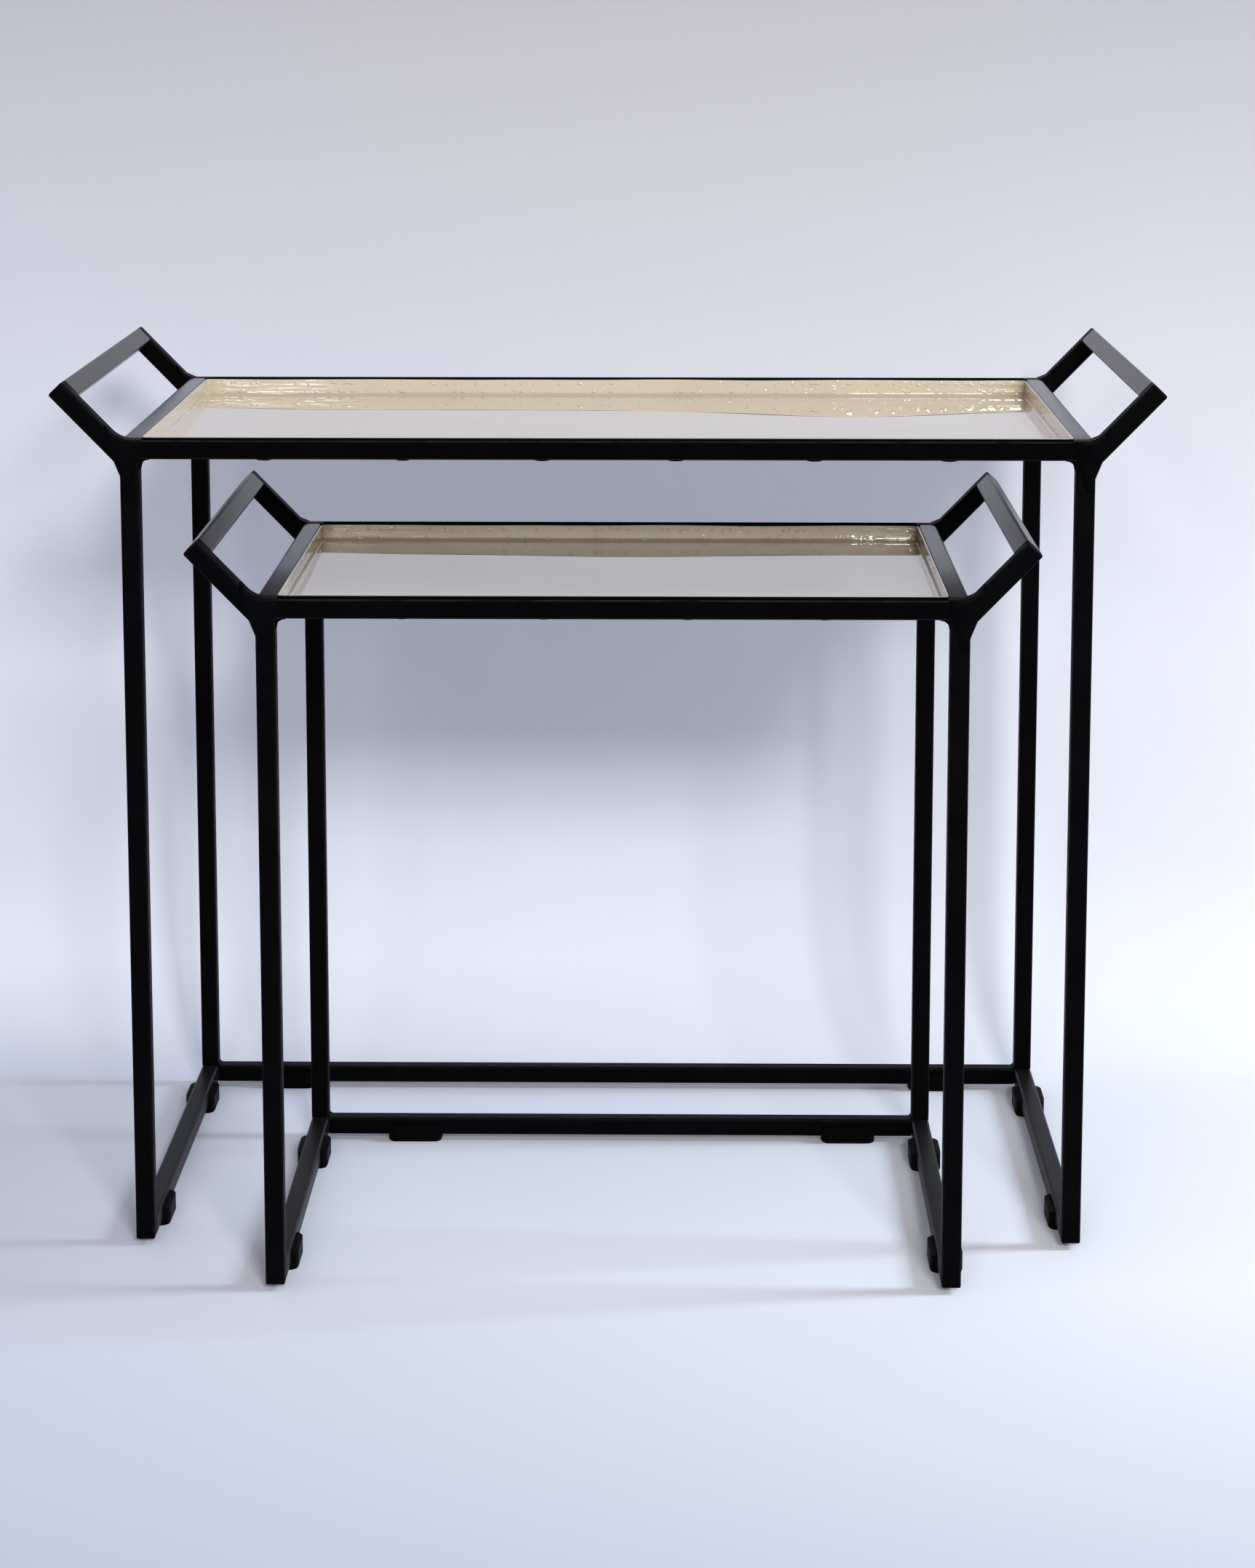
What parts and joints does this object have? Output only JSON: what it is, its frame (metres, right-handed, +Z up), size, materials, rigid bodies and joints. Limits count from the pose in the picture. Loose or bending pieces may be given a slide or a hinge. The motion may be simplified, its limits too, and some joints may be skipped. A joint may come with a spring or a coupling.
{
  "type": "nesting tables",
  "caption": "Nesting side tables: welded square-tube frames with enamelled tray tops and angled carrying handles; the small one slides under the large.",
  "frame": {"origin": "centre of the pair's bounding box on the floor, with the small table pulled partly out", "axes": "+X to the right along the tables' width, +Y from the small table's open front to the back of the large table, +Z up"},
  "size_m": [0.7254, 0.4296, 0.5853],
  "materials": {
    "frame_black": "satin black powder coat",
    "tray_enamel": "gloss cream enamel",
    "glide_plastic": "satin black moulded plastic"
  },
  "bodies": {
    "large_table": {"large_front_left_leg": "frame_black", "large_front_right_leg": "frame_black", "large_rear_left_leg": "frame_black", "large_rear_right_leg": "frame_black", "large_front_top_rail": "frame_black", "large_rear_top_rail": "frame_black", "large_left_crossbar": "frame_black", "large_right_crossbar": "frame_black", "large_left_base_rail": "frame_black", "large_right_base_rail": "frame_black", "large_rear_base_rail": "frame_black", "large_tray": "tray_enamel", "large_left_front_handle_arm": "frame_black", "large_left_rear_handle_arm": "frame_black", "large_left_handle_grip": "frame_black", "large_right_front_handle_arm": "frame_black", "large_right_rear_handle_arm": "frame_black", "large_right_handle_grip": "frame_black", "large_left_front_glide": "glide_plastic", "large_left_rear_glide": "glide_plastic", "large_right_front_glide": "glide_plastic", "large_right_rear_glide": "glide_plastic", "large_back_left_glide": "glide_plastic", "large_back_right_glide": "glide_plastic"},
    "small_table": {"small_front_left_leg": "frame_black", "small_front_right_leg": "frame_black", "small_rear_left_leg": "frame_black", "small_rear_right_leg": "frame_black", "small_front_top_rail": "frame_black", "small_rear_top_rail": "frame_black", "small_left_crossbar": "frame_black", "small_right_crossbar": "frame_black", "small_left_base_rail": "frame_black", "small_right_base_rail": "frame_black", "small_rear_base_rail": "frame_black", "small_tray": "tray_enamel", "small_left_front_handle_arm": "frame_black", "small_left_rear_handle_arm": "frame_black", "small_left_handle_grip": "frame_black", "small_right_front_handle_arm": "frame_black", "small_right_rear_handle_arm": "frame_black", "small_right_handle_grip": "frame_black", "small_left_front_glide": "glide_plastic", "small_left_rear_glide": "glide_plastic", "small_right_front_glide": "glide_plastic", "small_right_rear_glide": "glide_plastic", "small_back_left_glide": "glide_plastic", "small_back_right_glide": "glide_plastic"}
  },
  "joints": [
    {"name": "nest_slide", "type": "slide", "parent": "large_table", "child": "small_table", "axis": [0, 1, 0], "range_m": [-0.26, 0.1]}
  ]
}
